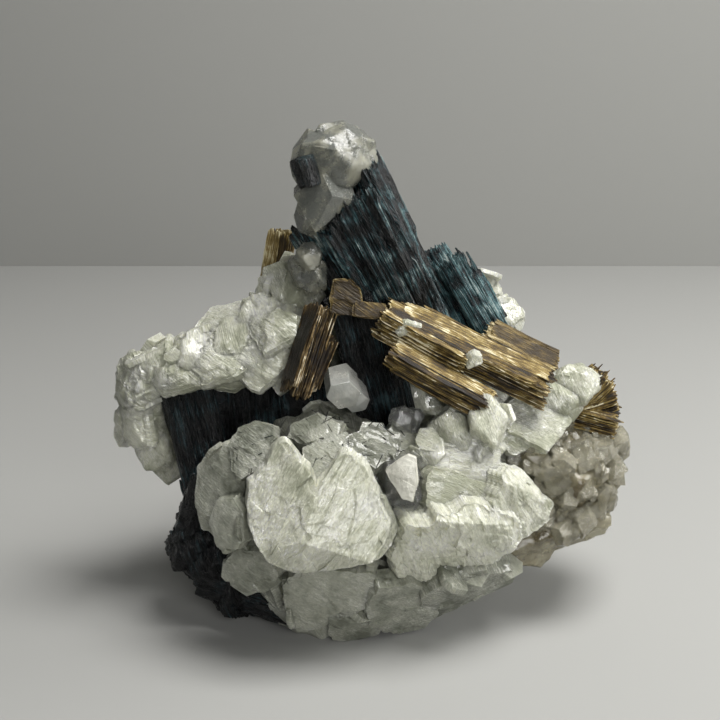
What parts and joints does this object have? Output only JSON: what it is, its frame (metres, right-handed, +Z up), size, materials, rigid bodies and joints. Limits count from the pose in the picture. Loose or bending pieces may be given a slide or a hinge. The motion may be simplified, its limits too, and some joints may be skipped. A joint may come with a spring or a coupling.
{
  "type": "black tourmaline crystal cluster",
  "caption": "Cluster of dark blue-black tourmaline columns with white albite blades, mica books and quartz, standing on its own flat foot.",
  "frame": {"origin": "on the surface that the cluster rests on, inside its resting face and under its middle", "axes": "+X to the viewer's right along the cluster's length, +Y away from the viewer, +Z up"},
  "size_m": [0.0783, 0.054, 0.0735],
  "materials": {
    "tourmaline": "glossy striated",
    "mica": "pearly layered",
    "clear_quartz": "glassy",
    "smoky_quartz": "glassy",
    "albite": "satin"
  },
  "bodies": {
    "root": {"albite": "albite", "mica_back": "mica", "mica_fan": "mica", "mica_flake": "mica", "mica_left": "mica", "mica_lower": "mica", "mica_rear": "mica", "mica_upper": "mica", "quartz_cap": "clear_quartz", "quartz_front": "clear_quartz", "quartz_hexagonal": "clear_quartz", "quartz_pocket": "clear_quartz", "quartz_side": "clear_quartz", "quartz_smoky": "smoky_quartz", "tourmaline_back": "tourmaline", "tourmaline_chip": "tourmaline", "tourmaline_column": "tourmaline", "tourmaline_foot": "tourmaline", "tourmaline_inner": "tourmaline", "tourmaline_left": "tourmaline", "tourmaline_pocket": "tourmaline", "tourmaline_rear": "tourmaline"}
  },
  "joints": []
}
